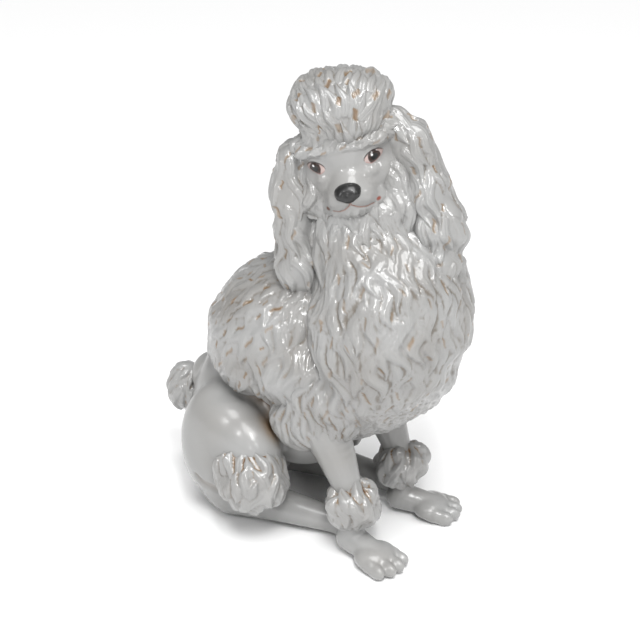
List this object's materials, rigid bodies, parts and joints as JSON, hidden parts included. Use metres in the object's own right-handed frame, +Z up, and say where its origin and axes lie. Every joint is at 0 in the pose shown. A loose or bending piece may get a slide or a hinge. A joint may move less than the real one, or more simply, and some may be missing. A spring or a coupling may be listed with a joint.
{
  "type": "poodle statue",
  "caption": "Sitting clipped poodle in glossy white glazed ceramic, head turned to its right, with mane jacket, pompon topknot, cuffs and tail.",
  "frame": {"origin": "on the floor, under the middle of the statue's outer box", "axes": "+Z up, the dog's chest faces -Y and its left side is +X"},
  "size_m": [0.2272, 0.3606, 0.4963],
  "materials": {
    "ears": "glossy white glaze over long wavy locks, ochre stain in the grooves",
    "cuffs": "glossy white glaze over small curls, ochre stain along their upper edges",
    "smooth_body": "smooth glossy white glaze, faint grey pooling",
    "face": "smooth glossy white glaze with painted brown eyes, black nose and red-brown mouth",
    "mane": "glossy white tin glaze over deep wavy locks, ochre and brown stain in the grooves",
    "tail": "glossy white glaze over curls, ochre stain in the grooves",
    "topknot": "glossy white glaze over swept curls, ochre stain in the grooves"
  },
  "bodies": {
    "root": {"ear_left": "ears", "ear_right": "ears", "fore_cuff_left": "cuffs", "fore_cuff_right": "cuffs", "foreleg_left": "smooth_body", "foreleg_right": "smooth_body", "forepaw_left": "smooth_body", "forepaw_right": "smooth_body", "head": "face", "hind_cuff_left": "cuffs", "hind_cuff_right": "cuffs", "hind_foot_left": "smooth_body", "hind_foot_right": "smooth_body", "mane_jacket": "mane", "rump": "smooth_body", "tail": "tail", "thigh_left": "smooth_body", "thigh_right": "smooth_body", "topknot": "topknot"}
  },
  "joints": []
}
